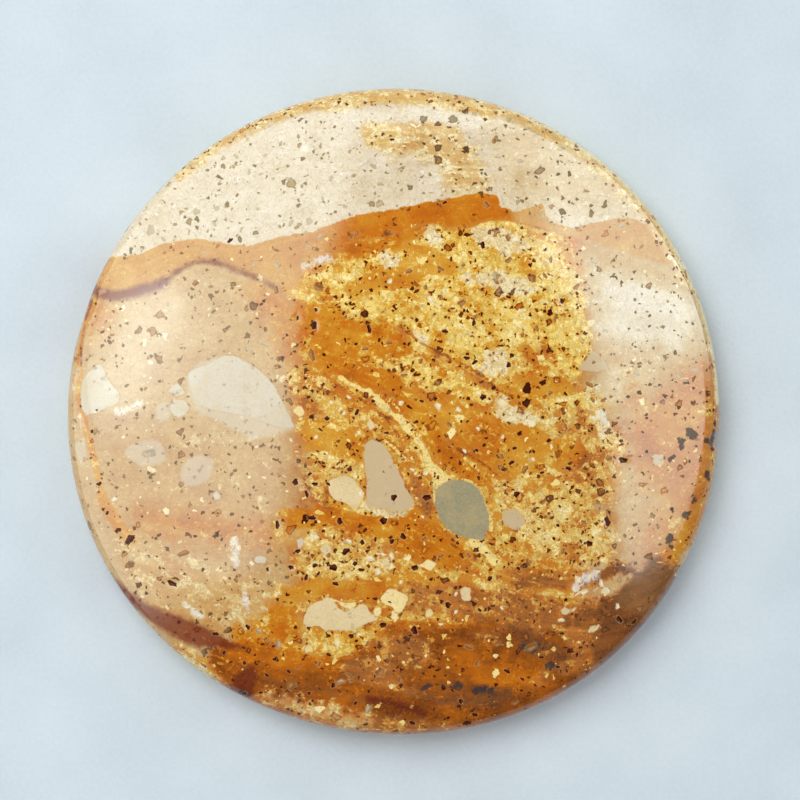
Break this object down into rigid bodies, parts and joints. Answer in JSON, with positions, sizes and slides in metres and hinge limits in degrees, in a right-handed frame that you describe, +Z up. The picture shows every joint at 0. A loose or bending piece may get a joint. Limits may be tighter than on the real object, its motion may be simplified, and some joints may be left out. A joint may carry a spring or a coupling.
{
  "type": "ruin marble cabochon",
  "caption": "Round polished stone cabochon with a low dome, a rolled shoulder and a flat back, cut from banded breccia in cream, ochre, orange and mauve.",
  "frame": {"origin": "centre of the flat back, on the surface that the stone rests on", "axes": "+Z up through the top of the dome, +X to the right and +Y away from the viewer when the stone is seen from above with its pale field at the far side"},
  "size_m": [0.0452, 0.0448, 0.006],
  "materials": {
    "polished_stone": "high polish on the dome, fine-ground back"
  },
  "bodies": {
    "root": {"cabochon": "polished_stone"}
  },
  "joints": []
}
